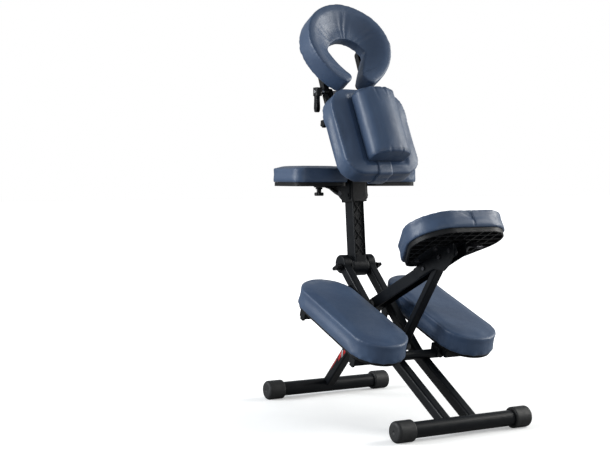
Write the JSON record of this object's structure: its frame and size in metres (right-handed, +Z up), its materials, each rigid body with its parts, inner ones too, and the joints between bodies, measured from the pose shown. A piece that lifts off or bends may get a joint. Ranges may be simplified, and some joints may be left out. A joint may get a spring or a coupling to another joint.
{
  "type": "kneeling massage chair",
  "caption": "Folding kneeling massage chair: sloped seat and knee pads on a crossed tube frame, with a mast carrying armrest, chest pad, sternum bolster and horseshoe face cradle.",
  "frame": {"origin": "on the floor, under the middle of the whole chair's bounding box", "axes": "+Z up, +Y the way the sitter faces, +X to the sitter's right"},
  "size_m": [0.488, 0.803, 1.2569],
  "materials": {
    "blue_vinyl": "semi-matt upholstery vinyl",
    "frame_coat": "satin black powder coat",
    "black_plastic": "moulded, fine texture",
    "rubber": "matt moulded rubber",
    "bright_steel": "zinc-plated steel",
    "dark_steel": "black oxide",
    "liner_plastic": "acetal"
  },
  "bodies": {
    "main_frame": {"rear_foot_tube": "frame_coat", "rear_foot_caps": "rubber", "rail_left": "frame_coat", "rail_right": "frame_coat", "knee_crossbar": "frame_coat", "crossbar_end_caps": "black_plastic", "pivot_bolt": "dark_steel", "strut_bolt": "dark_steel", "frame_lock_nuts": "dark_steel", "frame_spacers": "liner_plastic", "hub_axle": "dark_steel", "hub_friction_discs": "liner_plastic", "knee_front_rests": "frame_coat"},
    "front_leg": {"front_leg": "frame_coat", "front_foot_tube": "frame_coat", "front_foot_caps": "rubber"},
    "seat": {"seat_arm": "frame_coat", "seat_side_plates": "frame_coat", "side_plate_bolts": "dark_steel", "seat_mount_plate": "frame_coat", "seat_bolts": "dark_steel", "seat_base": "black_plastic", "seat_cushion": "blue_vinyl"},
    "seat_lever": {"seat_lever": "dark_steel"},
    "strut": {"seat_strut": "frame_coat", "strut_roller": "dark_steel"},
    "hub_knob_left": {"hub_knob_left": "black_plastic"},
    "hub_knob_right": {"hub_knob_right": "black_plastic"},
    "mast": {"mast": "frame_coat", "mast_lattice": "black_plastic", "mast_bushes": "liner_plastic"},
    "carriage": {"collar": "black_plastic", "collar_glides": "liner_plastic", "chest_support_arms": "frame_coat", "chest_pivot_bolts": "dark_steel", "armrest_hinge_pin": "dark_steel", "plunger_spring": "bright_steel"},
    "plunger": {"height_plunger": "dark_steel"},
    "armrest": {"armrest_bracket": "black_plastic", "armrest_board": "black_plastic", "armrest_cushion": "blue_vinyl"},
    "armrest_knob": {"armrest_knob": "black_plastic"},
    "chest": {"chest_frame": "frame_coat", "chest_board": "black_plastic", "chest_cushion": "blue_vinyl", "sternum_bolster": "blue_vinyl", "bolster_strap": "blue_vinyl"},
    "chest_tilt_knob": {"chest_tilt_knob": "black_plastic"},
    "post_knob": {"post_knob": "black_plastic"},
    "head_posts": {"head_posts": "frame_coat", "head_clamp_axle": "bright_steel"},
    "cradle": {"cradle_platform": "black_plastic", "cradle_cushion": "blue_vinyl"},
    "cam_lever": {"cam_lever": "black_plastic"},
    "knee_right": {"knee_cushion_right": "blue_vinyl", "knee_board_right": "black_plastic", "knee_brackets_right": "frame_coat"},
    "knee_left": {"knee_cushion_left": "blue_vinyl", "knee_board_left": "black_plastic", "knee_brackets_left": "frame_coat"}
  },
  "joints": [
    {"name": "front_leg_fold", "type": "hinge", "parent": "main_frame", "child": "front_leg", "pos_m": [0, 0.07654, 0.321], "axis": [1, 0, 0], "range_deg": [-75, 0]},
    {"name": "seat_fold", "type": "hinge", "parent": "main_frame", "child": "seat", "pos_m": [0, 0.07654, 0.321], "axis": [1, 0, 0], "range_deg": [0, 30]},
    {"name": "strut_fold", "type": "hinge", "parent": "main_frame", "child": "strut", "pos_m": [0, -0.05146, 0.203], "axis": [1, 0, 0], "range_deg": [0, 40.5]},
    {"name": "seat_lever_pull", "type": "hinge", "parent": "seat", "child": "seat_lever", "pos_m": [0.03, -0.3164, 0.5053], "axis": [1, 0, 0], "range_deg": [0, 18]},
    {"name": "mast_tilt", "type": "hinge", "parent": "main_frame", "child": "mast", "pos_m": [0, 0.19154, 0.428], "axis": [1, 0, 0], "range_deg": [-92, 8]},
    {"name": "hub_knob_left_turn", "type": "hinge", "parent": "main_frame", "child": "hub_knob_left", "pos_m": [-0.07, 0.19154, 0.428], "axis": [1, 0, 0], "continuous": true},
    {"name": "hub_knob_right_turn", "type": "hinge", "parent": "main_frame", "child": "hub_knob_right", "pos_m": [0.07, 0.19154, 0.428], "axis": [1, 0, 0], "continuous": true},
    {"name": "chest_height", "type": "slide", "parent": "mast", "child": "carriage", "axis": [0, 0.0872, 0.9962], "range_m": [-0.06, 0.06]},
    {"name": "plunger_pull", "type": "slide", "parent": "carriage", "child": "plunger", "axis": [1, 0, 0], "range_m": [0, 0.008], "deforming": ["plunger_spring"]},
    {"name": "armrest_fold", "type": "hinge", "parent": "carriage", "child": "armrest", "pos_m": [0, 0.25854, 0.655], "axis": [1, 0, 0], "range_deg": [-80, 0]},
    {"name": "armrest_knob_turn", "type": "hinge", "parent": "armrest", "child": "armrest_knob", "pos_m": [-0.048, 0.34554, 0.66], "axis": [0, 0, 1], "continuous": true},
    {"name": "chest_tilt", "type": "hinge", "parent": "carriage", "child": "chest", "pos_m": [0, 0.23254, 0.85], "axis": [1, 0, 0], "range_deg": [-12, 12]},
    {"name": "chest_tilt_knob_turn", "type": "hinge", "parent": "carriage", "child": "chest_tilt_knob", "pos_m": [-0.05, 0.23254, 0.85], "axis": [1, 0, 0], "continuous": true},
    {"name": "post_knob_turn", "type": "hinge", "parent": "chest", "child": "post_knob", "pos_m": [-0.109, 0.20293, 0.87114], "axis": [1, 0, 0], "continuous": true},
    {"name": "cradle_height", "type": "slide", "parent": "chest", "child": "head_posts", "axis": [0, 0.4524, 0.8918], "range_m": [0, 0.06]},
    {"name": "cradle_tilt", "type": "hinge", "parent": "head_posts", "child": "cradle", "pos_m": [0, 0.25429, 0.97236], "axis": [1, 0, 0], "range_deg": [-25, 5]},
    {"name": "cam_lever_swing", "type": "hinge", "parent": "head_posts", "child": "cam_lever", "pos_m": [-0.107, 0.25429, 0.97236], "axis": [1, 0, 0], "range_deg": [0, 100]},
    {"name": "knee_right_lift", "type": "hinge", "parent": "main_frame", "child": "knee_right", "pos_m": [0.075, -0.12446, 0.1904], "axis": [1, 0, 0], "range_deg": [0, 12]},
    {"name": "knee_left_lift", "type": "hinge", "parent": "main_frame", "child": "knee_left", "pos_m": [-0.075, -0.12446, 0.1904], "axis": [1, 0, 0], "range_deg": [0, 12]}
  ],
  "couplings": [
    {"joint": "strut_fold", "follows": "seat_fold", "ratio": 1.335}
  ]
}
